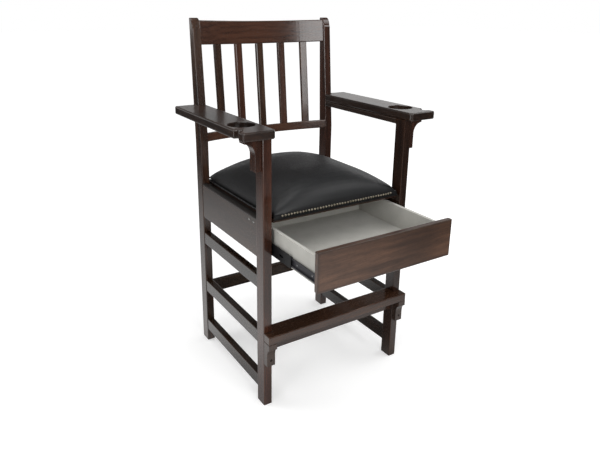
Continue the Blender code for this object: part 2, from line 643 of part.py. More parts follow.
def add_chair():
    clear_scene()
    walnut = finish("walnut_lacquer", (0.085, 0.045, 0.032), 0.35)
    leather = finish("black_leather", (0.018, 0.019, 0.021), 0.45)
    felt = finish("grey_felt", (0.42, 0.42, 0.40), 0.95)
    steel = finish("black_steel", (0.02, 0.02, 0.022), 0.4, 0.8)
    back_reach = (post_front(BACK_FOOT) + BACK_SETBACK + (BACK_HEIGHT - EDGE_EASE) * math.sin(BACK_LEAN)
                  + (BACK_SAG + BACK_RAIL_THICKNESS) * math.cos(BACK_LEAN))
    front_reach = FRONT_Y - DRAWER_OPEN
    chair = mount_point("chair", (0.0, -(front_reach + back_reach) / 2, 0.0))
    middles = mount_point("slide_middles", (0.0, SLIDE_FRONT - DRAWER_OPEN / 2, SLIDE_LEVEL), chair)
    drawer = mount_point("drawer", (0.0, SLIDE_FRONT - DRAWER_OPEN, SLIDE_LEVEL), chair)
    add_front_legs(walnut, chair)
    add_rear_posts(walnut, chair)
    add_aprons(walnut, chair)
    add_stretchers(walnut, chair)
    add_footrest(walnut, chair)
    add_arms(walnut, chair)
    add_back(walnut, chair)
    add_seat(walnut, leather, chair)
    add_slides(walnut, steel, {"cabinet": chair, "middle": middles, "drawer": drawer})
    add_drawer(walnut, felt, drawer)


add_chair()
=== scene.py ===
import math

import bmesh
import bpy
from mathutils import Euler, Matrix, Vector, noise


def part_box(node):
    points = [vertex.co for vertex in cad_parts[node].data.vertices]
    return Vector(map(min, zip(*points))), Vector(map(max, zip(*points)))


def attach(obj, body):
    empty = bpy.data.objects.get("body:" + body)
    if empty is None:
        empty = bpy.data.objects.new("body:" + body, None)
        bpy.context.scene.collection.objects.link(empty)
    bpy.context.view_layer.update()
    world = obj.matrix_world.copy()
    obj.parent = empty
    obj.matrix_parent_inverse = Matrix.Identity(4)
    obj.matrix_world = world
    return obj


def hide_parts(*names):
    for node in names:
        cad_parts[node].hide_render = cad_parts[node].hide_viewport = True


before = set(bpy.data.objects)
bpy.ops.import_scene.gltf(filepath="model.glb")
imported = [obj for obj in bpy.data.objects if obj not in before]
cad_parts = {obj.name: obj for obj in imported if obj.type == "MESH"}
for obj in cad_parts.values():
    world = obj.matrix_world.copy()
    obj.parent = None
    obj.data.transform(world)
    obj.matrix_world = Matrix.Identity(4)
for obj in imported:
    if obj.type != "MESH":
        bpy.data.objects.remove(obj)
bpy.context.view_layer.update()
scene = bpy.context.scene
scene.view_settings.view_transform = "Standard"

# Viewpoint. The chair is seen from its front left, a little above arm height, with a fairly wide
# lens. A small downward shift stands in for part of the tilt, so the legs stay close to upright.
VIEW_TURNS = (72.667, -0.546, -31.925)
viewpoint = bpy.data.objects.new("viewpoint", bpy.data.cameras.new("viewpoint"))
viewpoint.data.lens = 33.974
viewpoint.data.shift_x = 0.0154
viewpoint.data.shift_y = -0.07
viewpoint.location = (-1.1273, -1.6400, 1.3542)
viewpoint.rotation_euler = Euler([math.radians(turn) for turn in VIEW_TURNS])
scene.collection.objects.link(viewpoint)
scene.camera = viewpoint


# Studio. A pale floor and a white surround, lit by six soft boxes: a large one in front, a tall narrow
# one at the left that draws bright lines along the eased edges, and weaker ones at the upper right,
# overhead, behind the left corner and at the right side.
def set_inputs(tree, node, inputs):
    """Sets a node's inputs to values, or joins them to other nodes' outputs."""
    for name, value in inputs.items():
        if isinstance(value, bpy.types.NodeSocket):
            tree.links.new(value, node.inputs[name])
        else:
            node.inputs[name].default_value = value


def add_node(tree, kind, inputs=None, **settings):
    """One node with its settings and its inputs."""
    made = tree.nodes.new(kind)
    for name, value in settings.items():
        setattr(made, name, value)
    set_inputs(tree, made, inputs or {})
    return made


def sums(tree, operation, *values):
    """Plain arithmetic on values."""
    return add_node(tree, "ShaderNodeMath", dict(enumerate(values)), operation=operation).outputs[0]


def stretch(tree, value, start, end, first=0.0, last=1.0, eased=False):
    """Turns a value's run from start to end into a run from first to last."""
    return add_node(tree, "ShaderNodeMapRange", {"Value": value, "From Min": start, "From Max": end,
                                                 "To Min": first, "To Max": last},
                    interpolation_type="SMOOTHSTEP" if eased else "LINEAR").outputs[0]


# to the eye the surround is white; mirrored, it is white low down behind the chair, higher at the
# right, and dim overhead and in front
AMBIENT_LIGHT = 0.42
DIM_MIRRORED = 0.10
surround = bpy.data.worlds.new("surround")
surround.use_nodes = True
air = surround.node_tree
air.nodes.clear()
compass = add_node(air, "ShaderNodeTexCoord").outputs["Generated"]
bearing = add_node(air, "ShaderNodeSeparateXYZ", {0: compass}).outputs
behind = stretch(air, bearing["Y"], -0.35, 0.45, eased=True)
higher = stretch(air, bearing["X"], 0.41, 0.80, 0.0, 0.20)
low_down = stretch(air, sums(air, "SUBTRACT", bearing["Z"], higher), 0.0, 0.32, 1.0, 0.0, eased=True)
sky_rays = add_node(air, "ShaderNodeLightPath").outputs
white = sums(air, "MAXIMUM", sums(air, "MULTIPLY", behind, low_down), sky_rays["Is Camera Ray"])
looked_at = sums(air, "MAXIMUM", sky_rays["Is Camera Ray"], sky_rays["Is Glossy Ray"])
looked_at = sums(air, "MAXIMUM", looked_at, sky_rays["Is Transmission Ray"])
brightness = add_node(air, "ShaderNodeMix", {
    "Factor": looked_at, "A": AMBIENT_LIGHT, "B": stretch(air, white, 0.0, 1.0, DIM_MIRRORED, 1.0)},
    data_type="FLOAT")
sky = add_node(air, "ShaderNodeBackground", {"Color": (1.0, 1.0, 1.0, 1.0),
                                             "Strength": brightness.outputs[0]})
add_node(air, "ShaderNodeOutputWorld", {"Surface": sky.outputs[0]})
scene.world = surround

# to the eye the floor is matt and glows a little, more so far off, where it fades into the surround;
# mirrored, it is bright in front and at the left, where the lamps reach it, and dark under the chair
FLOOR_HALF = 30.0
FLOOR_DROP = 0.0003
floor_mesh = bpy.data.meshes.new("floor")
floor_mesh.from_pydata([(x * FLOOR_HALF, y * FLOOR_HALF, -FLOOR_DROP)
                        for x, y in ((-1, -1), (1, -1), (1, 1), (-1, 1))], [], [(0, 1, 2, 3)])
floor = bpy.data.objects.new("floor", floor_mesh)
scene.collection.objects.link(floor)
paper = bpy.data.materials.new("floor_paper")
paper.use_nodes = True
sheet = paper.node_tree
sheet.nodes.clear()
ground = add_node(sheet, "ShaderNodeTexCoord").outputs["Object"]
spread = add_node(sheet, "ShaderNodeVectorMath", {0: ground}, operation="LENGTH").outputs["Value"]
far_off = stretch(sheet, spread, 0.7, 4.0, 0.35, 0.70, eased=True)
from_lit = add_node(sheet, "ShaderNodeMapping", {"Vector": ground, "Location": (0.55, 0.45, 0.0),
                                                 "Scale": (1.0, 0.45, 1.0)}).outputs[0]
lit_reach = add_node(sheet, "ShaderNodeVectorMath", {0: from_lit}, operation="LENGTH").outputs["Value"]
close_by = stretch(sheet, lit_reach, 0.5, 2.2, 1.0, 0.06, eased=True)
shaded = stretch(sheet, spread, 0.14, 0.60, 0.08, 1.0, eased=True)
floor_rays = add_node(sheet, "ShaderNodeLightPath").outputs
matt = add_node(sheet, "ShaderNodeBsdfDiffuse", {"Color": (0.80, 0.80, 0.80, 1.0)})
glow = add_node(sheet, "ShaderNodeEmission", {
    "Strength": sums(sheet, "MULTIPLY", floor_rays["Is Camera Ray"], far_off)})
direct_floor = add_node(sheet, "ShaderNodeAddShader", {0: matt.outputs[0], 1: glow.outputs[0]})
mirrored_floor = add_node(sheet, "ShaderNodeEmission", {
    "Strength": sums(sheet, "MULTIPLY", close_by, shaded)})
either = add_node(sheet, "ShaderNodeMixShader", {0: floor_rays["Is Glossy Ray"], 1: direct_floor.outputs[0],
                                                 2: mirrored_floor.outputs[0]})
add_node(sheet, "ShaderNodeOutputMaterial", {"Surface": either.outputs[0]})
floor_mesh.materials.append(paper)

# each lamp's place, width, height and watts; all face the middle of the chair
LAMP_AIM = Vector((0.0, 0.0, 0.65))
for title, place, wide, tall, watts in (("soft_box_front", (-0.05, -2.95, 1.90), 1.4, 2.0, 50.0),
                                        ("soft_box_left", (-2.9, -1.35, 1.1), 0.9, 2.1, 28.0),
                                        ("soft_box_right", (1.8, -1.0, 2.9), 1.4, 1.4, 20.0),
                                        ("soft_box_top", (-0.4, 0.3, 3.3), 1.6, 1.6, 26.0),
                                        ("soft_box_back", (-2.2, 1.6, 3.0), 1.4, 1.4, 22.0),
                                        ("soft_box_side", (3.0, 0.2, 1.2), 1.5, 1.5, 26.0)):
    lamp = bpy.data.lights.new(title, "AREA")
    lamp.shape = "RECTANGLE"
    lamp.size = wide
    lamp.size_y = tall
    lamp.energy = watts
    box = bpy.data.objects.new(title, lamp)
    box.location = place
    box.rotation_euler = (LAMP_AIM - box.location).to_track_quat("-Z", "Y").to_euler()
    scene.collection.objects.link(box)


# Legs, posts, aprons and stretchers. Solid hardwood, stained dark walnut and sprayed with satin
# lacquer, tenoned together. Every board comes from another plank, so each has its own figure and
# tone, though the right front leg is painted darker as painted shade. Along the eased edges the colour
# is lighter, partly stain rubbed thinner and partly painted highlight.
def make_group(title, inputs, outputs):
    """An empty shader group with named sockets."""
    group = bpy.data.node_groups.new(title, "ShaderNodeTree")
    for name, kind in inputs:
        group.interface.new_socket(name, in_out="INPUT", socket_type=kind)
    for name, kind in outputs:
        group.interface.new_socket(name, in_out="OUTPUT", socket_type=kind)
    return group, group.nodes.new("NodeGroupInput"), group.nodes.new("NodeGroupOutput")


def ramp(tree, value, stops):
    """Colours blended along a value."""
    made = add_node(tree, "ShaderNodeValToRGB", {"Fac": value})
    band = made.color_ramp
    while len(band.elements) < len(stops):
        band.elements.new(0.5)
    for element, (place, colour) in zip(band.elements, stops):
        element.position = place
        element.color = (*colour, 1.0)
    return made.outputs["Color"]


def mix(tree, share, first, second, blend="MIX"):
    """Two colours blended; either may be a plain colour."""
    made = tree.nodes.new("ShaderNodeMix")
    made.data_type = "RGBA"
    made.blend_type = blend
    # of this node's sockets, 0 is the share and 6 and 7 are its two colours
    for place, value in ((0, share), (6, first), (7, second)):
        if isinstance(value, bpy.types.NodeSocket):
            tree.links.new(value, made.inputs[place])
        else:
            made.inputs[place].default_value = value if place == 0 else (*value, 1.0)
    return made.outputs[2]


def cloud(tree, place, scale, detail, rough=0.5, swirl=0.0):
    """Soft noise around one half."""
    return add_node(tree, "ShaderNodeTexNoise", {"Vector": place, "Scale": scale, "Detail": detail,
                                                 "Roughness": rough, "Distortion": swirl}).outputs["Fac"]


def drawn_out(tree, place, scale):
    """A place scaled along each axis, so that a pattern on it is drawn out."""
    return add_node(tree, "ShaderNodeMapping", {"Vector": place, "Scale": scale}).outputs[0]


def new_finish(title):
    """A bare finish: its material, node tree, shader and the piece's own coordinates."""
    finish = bpy.data.materials.new(title)
    finish.use_nodes = True
    tree = finish.node_tree
    place = add_node(tree, "ShaderNodeTexCoord").outputs["Object"]
    return finish, tree, tree.nodes["Principled BSDF"], place


# growth rings, long streaks of stain, fine lines and short open pores, with the grain along X
figure, figure_in, figure_out = make_group(
    "walnut_figure",
    [("Vector", "NodeSocketVector"), ("Tone", "NodeSocketFloat"), ("Redness", "NodeSocketFloat")],
    [("Colour", "NodeSocketColor"), ("Roughness", "NodeSocketFloat"), ("Height", "NodeSocketFloat")])
timber = figure_in.outputs["Vector"]
streak = cloud(figure, drawn_out(figure, timber, (3.2, 52.0, 52.0)), 1.0, 4.0, 0.58, 0.5)
lines = cloud(figure, drawn_out(figure, timber, (9.0, 310.0, 310.0)), 1.0, 3.0, 0.6)
bent = drawn_out(figure, timber, (0.35, 1.0, 1.0))
rings = add_node(figure, "ShaderNodeTexWave", {"Vector": bent, "Scale": 17.0, "Distortion": 9.0,
                                               "Detail": 3.0, "Detail Scale": 0.7, "Detail Roughness": 0.6},
                 wave_type="RINGS", rings_direction="X").outputs["Fac"]
cloudy = cloud(figure, bent, 7.0, 2.0)
specks = cloud(figure, drawn_out(figure, timber, (70.0, 1150.0, 1150.0)), 1.0, 2.0)
pores = stretch(figure, specks, 0.58, 0.68)
grain = sums(figure, "MULTIPLY", streak, 0.34)
for pattern, share in ((lines, 0.17), (rings, 0.05), (cloudy, 0.44)):
    grain = sums(figure, "ADD", grain, sums(figure, "MULTIPLY", pattern, share))
brown = ramp(figure, grain, [(0.39, (0.0160, 0.0084, 0.0048)), (0.50, (0.0310, 0.0164, 0.0090)),
                             (0.62, (0.0500, 0.0270, 0.0148))])
red = ramp(figure, grain, [(0.39, (0.0205, 0.0074, 0.0044)), (0.50, (0.0420, 0.0152, 0.0088)),
                           (0.62, (0.0710, 0.0262, 0.0150))])
stain = mix(figure, figure_in.outputs["Redness"], brown, red)
tint = add_node(figure, "ShaderNodeCombineColor", {
    name: figure_in.outputs["Tone"] for name in ("Red", "Green", "Blue")}).outputs[0]
toned = mix(figure, 1.0, stain, tint, "MULTIPLY")
figured = mix(figure, sums(figure, "MULTIPLY", pores, 0.55), toned, (0.008, 0.0035, 0.0025))
uneven_gloss = sums(figure, "ADD", sums(figure, "MULTIPLY", streak, 0.06),
                    sums(figure, "MULTIPLY", pores, 0.10))
set_inputs(figure, figure_out, {
    "Colour": figured, "Roughness": sums(figure, "ADD", uneven_gloss, 0.17),
    "Height": sums(figure, "SUBTRACT", sums(figure, "MULTIPLY", lines, 0.35), pores)})

# closeness to the nearest edge of a straight board, as a ragged mask
nearness, nearness_in, nearness_out = make_group(
    "edge_nearness",
    [("Position", "NodeSocketVector"), ("Low", "NodeSocketVector"), ("High", "NodeSocketVector"),
     ("Width", "NodeSocketFloat")], [("Mask", "NodeSocketFloat")])
position = nearness_in.outputs["Position"]
from_low = add_node(nearness, "ShaderNodeVectorMath", {0: position, 1: nearness_in.outputs["Low"]},
                    operation="SUBTRACT")
from_high = add_node(nearness, "ShaderNodeVectorMath", {0: nearness_in.outputs["High"], 1: position},
                     operation="SUBTRACT")
nearest = add_node(nearness, "ShaderNodeVectorMath", {0: from_low.outputs[0], 1: from_high.outputs[0]},
                   operation="MINIMUM")
depth = add_node(nearness, "ShaderNodeSeparateXYZ", {0: nearest.outputs[0]}).outputs
# of the depths below two faces that meet, the greater is the distance to their edge
to_edges = [sums(nearness, "MAXIMUM", depth[first], depth[second]) for first, second in ((0, 1), (1, 2), (0, 2))]
to_edge = sums(nearness, "MINIMUM", sums(nearness, "MINIMUM", to_edges[0], to_edges[1]), to_edges[2])
ragged = sums(nearness, "MULTIPLY", cloud(nearness, position, 46.0, 4.0, 0.65), 2.0)
reach = sums(nearness, "MULTIPLY", nearness_in.outputs["Width"], ragged)
closeness = sums(nearness, "SUBTRACT", 1.0, sums(nearness, "DIVIDE", to_edge, reach))
set_inputs(nearness, nearness_out, {"Mask": sums(nearness, "MAXIMUM", closeness, 0.0)})

GRAIN_TURN = {"x": (0.0, 0.0, 0.0), "y": (0.0, 0.0, -math.pi / 2), "z": (0.0, math.pi / 2, 0.0)}
PLANKS = 97
SHADE_FADE = 0.008


def walnut(board, grain, tone=1.0, redness=0.5, straight=True, painted_shade_above=None, satin=0.0,
           edge_width=0.0035, edge_share=0.30, edge_colour=(0.090, 0.043, 0.025)):
    """Stained and lacquered walnut for one board, with the grain along the named axis.

    Only a straight board has its edges coloured: by default lighter, partly as stain rubbed thin and
    partly as painted highlight. Over the height it is given for painted shade, the wood is painted
    near black and made duller, and satin makes the lacquer duller.
    """
    finish, tree, shader, place = new_finish(f"walnut_{board}")
    # each board is cut at its own place along the trunk and at its own distance from the heart
    plank = sum(ord(letter) * (i + 3) for i, letter in enumerate(board)) % PLANKS
    cut = add_node(tree, "ShaderNodeMapping", {
        "Vector": place, "Rotation": GRAIN_TURN[grain],
        "Location": (plank * 0.173, 0.045 + (plank % 7) * 0.011, 0.03 + (plank % 5) * 0.017)})
    tilted = add_node(tree, "ShaderNodeMapping", {"Vector": cut.outputs[0], "Rotation": (0.0, 0.03, -0.045)})
    wood = add_node(tree, "ShaderNodeGroup", {"Vector": tilted.outputs[0], "Tone": tone, "Redness": redness},
                    node_tree=figure).outputs
    colour = wood["Colour"]
    # the edges take edge_colour; the lighter default is partly stain rubbed thin and partly painted highlight
    if straight:
        low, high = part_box(board)
        edges = add_node(tree, "ShaderNodeGroup", {"Position": place, "Low": low, "High": high,
                                                   "Width": edge_width}, node_tree=nearness)
        colour = mix(tree, sums(tree, "MULTIPLY", edges.outputs["Mask"], edge_share), colour, edge_colour)
    gloss = sums(tree, "ADD", wood["Roughness"], satin)
    # painted shade: over the given height the wood turns near black and rougher
    if painted_shade_above is not None:
        height = add_node(tree, "ShaderNodeSeparateXYZ", {0: place}).outputs["Z"]
        painted_shade = stretch(tree, height, painted_shade_above - SHADE_FADE, painted_shade_above)
        colour = mix(tree, painted_shade, colour, (0.0060, 0.0038, 0.0026))
        gloss = sums(tree, "ADD", gloss, sums(tree, "MULTIPLY", painted_shade, 0.35))
    bump = add_node(tree, "ShaderNodeBump", {"Height": wood["Height"], "Strength": 0.08, "Distance": 0.0004})
    set_inputs(tree, shader, {"Base Color": colour, "Roughness": gloss, "Normal": bump.outputs[0],
                              "Specular IOR Level": 0.40, "Coat Weight": 0.45,
                              "Coat Roughness": 0.09 + satin})
    return finish


def dress(board, finish):
    """Gives a solid its finish."""
    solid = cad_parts[board]
    solid.data.materials.clear()
    solid.data.materials.append(finish)


APRON_SHADE_EDGE = 0.0005
# the right front leg's lower tone is painted shade, for the shade that the open drawer and the footrest cast
# on it
for board, tone, redness in (("front_leg_l", 0.90, 1.0), ("front_leg_r", 0.48, 0.6)):
    dress(board, walnut(board, "z", tone, redness))
for board, tone, redness in (("rear_post_l", 0.85, 0.35), ("rear_post_r", 0.90, 0.95)):
    dress(board, walnut(board, "z", tone, redness, straight=False))
for side in "lr":
    # the aprons' top edges lie in the shade under the cushion, so they are painted near black there as
    # painted shade, and so are the cleats all over
    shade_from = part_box(f"side_apron_{side}")[1].z - APRON_SHADE_EDGE
    dress(f"side_apron_{side}", walnut(f"side_apron_{side}", "y", 0.80, 0.25, painted_shade_above=shade_from))
    dress(f"seat_cleat_{side}", walnut(f"seat_cleat_{side}", "y", 0.45, 0.4, painted_shade_above=0.0))
    for board, tone, redness in ((f"side_stretcher_upper_{side}", 0.38, 0.10),
                                 (f"side_stretcher_middle_{side}", 0.44, 0.05),
                                 (f"side_stretcher_lower_{side}", 0.42, 0.15),
                                 (f"slide_block_{side}", 0.95, 0.4)):
        dress(board, walnut(board, "y", tone, redness))
for board, tone, redness in (("rear_apron", 0.85, 0.5), ("rear_stretcher", 0.70, 0.0),
                             ("front_stretcher", 0.75, 0.6)):
    dress(board, walnut(board, "x", tone, redness))

# Footrest. A thick tread board of the same walnut, notched round the front legs and screwed to the
# stretcher below it; two shaped corbels under its ends are screwed to the legs.
dress("footrest_board", walnut("footrest_board", "x", 0.85, 0.4))
for board in ("footrest_corbel_l", "footrest_corbel_r"):
    dress(board, walnut(board, "z", 0.90, 0.3, straight=False))

# Arms. Flat walnut boards with routed cup wells and cue notches, under a duller lacquer. They lie on
# rails along their inner edges and on corbels sawn to a curve and fixed to the front legs.
ARM_SATIN = 0.12
for side in "lr":
    dress(f"arm_board_{side}", walnut(f"arm_board_{side}", "y", 0.55, 0.35, straight=False, satin=ARM_SATIN))
    dress(f"arm_rail_{side}", walnut(f"arm_rail_{side}", "y", 0.45, 0.3, satin=ARM_SATIN))
    dress(f"arm_corbel_{side}", walnut(f"arm_corbel_{side}", "z", 1.0, 0.9, straight=False))

# Back. Two walnut rails sawn to a shallow bow and tenoned into the posts, with five flat slats
# tenoned between them.
for board, tone, redness in (("back_top_rail", 0.95, 0.75), ("back_low_rail", 1.05, 0.60)):
    dress(board, walnut(board, "x", tone, redness, straight=False))
for number, tone, redness in ((1, 0.90, 0.30), (2, 1.05, 1.0), (3, 0.95, 0.25), (4, 1.05, 0.85),
                              (5, 1.0, 0.45)):
    dress(f"back_slat_{number}", walnut(f"back_slat_{number}", "z", tone, redness, straight=False))

# Seat board. Thin plywood, stained like the frame, screwed to the cleats and resting on the rear
# apron; only its front edge shows, painted darker as painted shade under the nailed leather.
dress("seat_board", walnut("seat_board", "x", 0.5, 0.9))


# Seat cushion. Foam under black upholstery leather, pulled tight over a high crown and down to the
# edges of the seat board. The leather is blown up from a slightly flatter form, as the foam fills it.
def leather_finish(title, dark, light, smooth, shine):
    """Black leather with a fine pebble grain, soft creases and a dull sheen."""
    finish, tree, shader, place = new_finish(title)
    pebble = add_node(tree, "ShaderNodeTexVoronoi", {"Vector": place, "Scale": 620.0, "Randomness": 0.95},
                      feature="DISTANCE_TO_EDGE").outputs["Distance"]
    crease = cloud(tree, place, 95.0, 6.0, 0.6, 0.8)
    patchy = cloud(tree, place, 7.0, 3.0)
    shade = sums(tree, "ADD", sums(tree, "MULTIPLY", crease, 0.45), sums(tree, "MULTIPLY", patchy, 0.55))
    height = sums(tree, "ADD", stretch(tree, pebble, 0.0, 0.35), sums(tree, "MULTIPLY", crease, 0.9))
    bump = add_node(tree, "ShaderNodeBump", {"Height": height, "Strength": 0.22, "Distance": 0.0005})
    set_inputs(tree, shader, {"Base Color": ramp(tree, shade, [(0.35, dark), (0.65, light)]),
                              "Roughness": stretch(tree, crease, 0.3, 0.7, smooth, smooth + 0.14),
                              "Normal": bump.outputs[0], "Specular IOR Level": shine})
    return finish


def made_mesh(piece):
    """What a piece's modifiers make of it, as a plain mesh; the modifiers come off."""
    result = bpy.data.meshes.new_from_object(piece.evaluated_get(bpy.context.evaluated_depsgraph_get()))
    piece.modifiers.clear()
    piece.data = result
    return result


seat_low, seat_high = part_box("seat_cushion")
seat_middle = (seat_low + seat_high) / 2
SKIRT = 0.010         # the cushion's upright foot, which stays on the board
FLATTER = 0.93        # the crown's height before it is blown up, as a share
SWELL = 0.009         # the most that the leather moves
VOXEL = 0.006
HOLD_FADE = 0.012     # over this rise above the foot the leather comes free
BLOW_STEPS = 20
FOAM_ROUNDS = 40
pad = bpy.data.objects.new("seat_pad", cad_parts["seat_cushion"].data.copy())
scene.collection.objects.link(pad)
form = bmesh.new()
form.from_mesh(pad.data)
bmesh.ops.remove_doubles(form, verts=form.verts, dist=0.0001)
for vert in form.verts:
    rise = vert.co.z - seat_low.z - SKIRT
    if rise > 0.0:
        vert.co.z = seat_low.z + SKIRT + rise * FLATTER
bmesh.ops.recalc_face_normals(form, faces=form.faces)
form.to_mesh(pad.data)
form.free()
pad.data.materials.clear()
remesh = pad.modifiers.new("even mesh", "REMESH")
remesh.mode = "VOXEL"
remesh.voxel_size = VOXEL
even = made_mesh(pad)
start = [vert.co.copy() for vert in even.vertices]
held = pad.vertex_groups.new(name="held")
for vert in even.vertices:
    hold = 1.0 - (vert.co.z - seat_low.z - SKIRT) / HOLD_FADE
    held.add([vert.index], min(1.0, max(0.0, hold)), "REPLACE")
cloth = pad.modifiers.new("leather", "CLOTH")
cloth.settings.quality = 6
cloth.settings.mass = 0.35
cloth.settings.tension_stiffness = 22.0
cloth.settings.compression_stiffness = 22.0
cloth.settings.shear_stiffness = 8.0
cloth.settings.bending_stiffness = 1.5
cloth.settings.use_pressure = True
cloth.settings.uniform_pressure_force = 4.0
cloth.settings.vertex_group_mass = "held"
cloth.settings.effector_weights.gravity = 0.0
for step in range(1, BLOW_STEPS + 1):
    scene.frame_set(step)
blown = pad.evaluated_get(bpy.context.evaluated_depsgraph_get()).to_mesh()
swollen = [vert.co.copy() for vert in blown.vertices]
pad.modifiers.clear()
pad.vertex_groups.clear()
scene.frame_set(1)
# the foam evens out what the air alone would pucker
links = [[] for _ in start]
for edge in even.edges:
    first, second = edge.vertices
    links[first].append(second)
    links[second].append(first)
moves = [after - before for before, after in zip(start, swollen)]
for _ in range(FOAM_ROUNDS):
    moves = [(move + sum((moves[k] for k in near), Vector())) / (len(near) + 1)
             for move, near in zip(moves, links)]
# the leather is drawn into short soft folds low down at the corners, and lies a little unevenly
CORNER_FROM = 0.86
CORNER_RUN = 0.14
FOLD_DEPTH = 0.0009
FOLD_WAVES = 26.0
FOLD_CENTRE = 0.7
RIPPLE = 0.0012
RIPPLES_PER_METRE = 7.0
RIPPLE_FADE = 0.03
LAID_FLAT = 0.002     # below this height the leather lies on the board
for vert, before, move in zip(even.vertices, start, moves):
    if move.length > SWELL:
        move = move * (SWELL / move.length)
    spot = before + move
    across = abs((spot.x - seat_middle.x) / (seat_high.x - seat_middle.x))
    deep = abs((spot.y - seat_middle.y) / (seat_high.y - seat_middle.y))
    corner = max(0.0, across - CORNER_FROM) / CORNER_RUN * max(0.0, deep - CORNER_FROM) / CORNER_RUN
    height = spot.z - seat_low.z
    if height > LAID_FLAT:
        turn = math.atan2(deep - FOLD_CENTRE, across - FOLD_CENTRE)
        spot.z += FOLD_DEPTH * corner * math.sin(turn * FOLD_WAVES)
        spot.z += RIPPLE * noise.noise(spot * RIPPLES_PER_METRE) * min(1.0, height / RIPPLE_FADE)
    vert.co = spot
finer = pad.modifiers.new("finer", "SUBSURF")
finer.levels = finer.render_levels = 1
made_mesh(pad).shade_smooth()
pad.data.materials.append(leather_finish(
    "seat_leather", (0.0042, 0.0044, 0.0050), (0.0076, 0.0079, 0.0089), 0.38, 0.44))
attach(pad, "frame")
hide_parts("seat_cushion")


# Front wrap. The leather's lower edge, turned down over the front of the seat board and held there by
# the nails; its hem ripples a little between them.
def skinned(title, form, loops, finish):
    """A smooth piece from loops of corners along it, closed at both ends, with its finish."""
    count = len(loops[0])
    for near, far in zip(loops, loops[1:]):
        for k in range(count):
            after = (k + 1) % count
            form.faces.new((near[k], far[k], far[after], near[after]))
    form.faces.new(loops[0])
    form.faces.new(reversed(loops[-1]))
    bmesh.ops.recalc_face_normals(form, faces=form.faces)
    mesh = bpy.data.meshes.new(title)
    form.to_mesh(mesh)
    form.free()
    mesh.shade_smooth()
    mesh.materials.append(finish)
    piece = bpy.data.objects.new(title, mesh)
    scene.collection.objects.link(piece)
    return piece


board_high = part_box("seat_board")[1]
WRAP_STEPS = 80
WRAP_INSET = 0.0015
WRAP_TOP = 0.0104
WRAP_HEM = -0.004     # below this height the hem ripples
HEM_WAVE = 0.0004
HEM_UNEVEN = 0.0005
WRAP_DRAWN = 0.006    # how far the upper lip is drawn back at the corners
# section from the upper lip down the outside and up again behind: distance back, height over the board
WRAP_SECTION = [(0.0011, WRAP_TOP), (0.0006, 0.0070), (0.0002, 0.0020), (0.0002, -0.0030), (0.0008, -0.0058),
                (0.0018, -0.0064), (0.0026, -0.0060), (0.0026, -0.0003), (0.0021, 0.0050), (0.0015, 0.0100)]
wrap = bmesh.new()
wrap_loops = []
for i in range(WRAP_STEPS + 1):
    share = 2 * i / WRAP_STEPS - 1
    x = share * (board_high.x - WRAP_INSET)
    ripple = HEM_WAVE * math.sin(i * 2.1) + HEM_UNEVEN * noise.noise((i * 0.45, 3.1, 0.0))
    drawn = WRAP_DRAWN * abs(share) ** 10
    wrap_loops.append([wrap.verts.new((x, seat_low.y + y + drawn * max(0.0, z) / WRAP_TOP,
                                       board_high.z + z + (ripple if z < WRAP_HEM else 0.0)))
                       for y, z in WRAP_SECTION])
front_wrap = skinned("seat_front_wrap", wrap, wrap_loops, leather_finish(
    "wrap_leather", (0.0022, 0.0022, 0.0025), (0.0046, 0.0047, 0.0052), 0.52, 0.22))
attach(front_wrap, "frame")

# Piping. A cord in a folded strip of the same leather, sewn along the foot of the cushion at its two
# sides and its back, where no nails hold it.
PIPING_RADIUS = 0.0032
PIPING_SIDES = 10
PIPING_CORNER = 0.012
PIPING_SETBACK = 0.016      # from the cushion's front
PIPING_HEIGHT = 0.0040      # its middle, over the cushion's foot
PIPING_END_DROP = 0.0016
STITCH_PUCKER = 0.05
SIDE_PITCH = 0.010
SIDE_STEPS = 48
CORNER_STEPS = 6
BACK_PITCH = 0.012
BACK_STEPS = 20
piping_x = seat_high.x + PIPING_RADIUS
piping_y = seat_high.y + PIPING_RADIUS
half_path = [Vector((piping_x, seat_low.y + PIPING_SETBACK + i * SIDE_PITCH, 0.0))
             for i in range(SIDE_STEPS + 1)]
half_path = [spot for spot in half_path if spot.y < piping_y - PIPING_CORNER]
for i in range(CORNER_STEPS + 1):
    turn = math.radians(90 * i / CORNER_STEPS)
    half_path.append(Vector((piping_x - PIPING_CORNER * (1 - math.cos(turn)),
                             piping_y - PIPING_CORNER * (1 - math.sin(turn)), 0.0)))
half_path += [Vector((piping_x - PIPING_CORNER - i * BACK_PITCH, piping_y, 0.0))
              for i in range(1, BACK_STEPS + 1)]
piping_path = half_path + [Vector((-spot.x, spot.y, 0.0)) for spot in reversed(half_path)]
cord = bmesh.new()
cord_loops = []
last = len(piping_path) - 1
for i, spot in enumerate(piping_path):
    ahead = (piping_path[min(i + 1, last)] - piping_path[max(i - 1, 0)]).normalized()
    sideways = Vector((ahead.y, -ahead.x, 0.0))
    # the fold puckers a little at every stitch, and the ends run down behind the nailed front
    swell = PIPING_RADIUS * (1.0 + STITCH_PUCKER * math.sin(i * 2.4))
    drop = PIPING_END_DROP * max(0.0, 1.0 - min(i, last - i) / 2.0)
    centre = spot + Vector((0.0, 0.0, seat_low.z + PIPING_HEIGHT - drop))
    cord_loops.append([
        cord.verts.new(centre + swell * (math.cos(turn) * sideways + math.sin(turn) * Vector((0, 0, 1))))
        for turn in (math.tau * k / PIPING_SIDES for k in range(PIPING_SIDES))])
piping = skinned("seat_piping", cord, cord_loops, leather_finish(
    "piping_leather", (0.0040, 0.0041, 0.0046), (0.0085, 0.0087, 0.0096), 0.20, 0.85))
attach(piping, "frame")


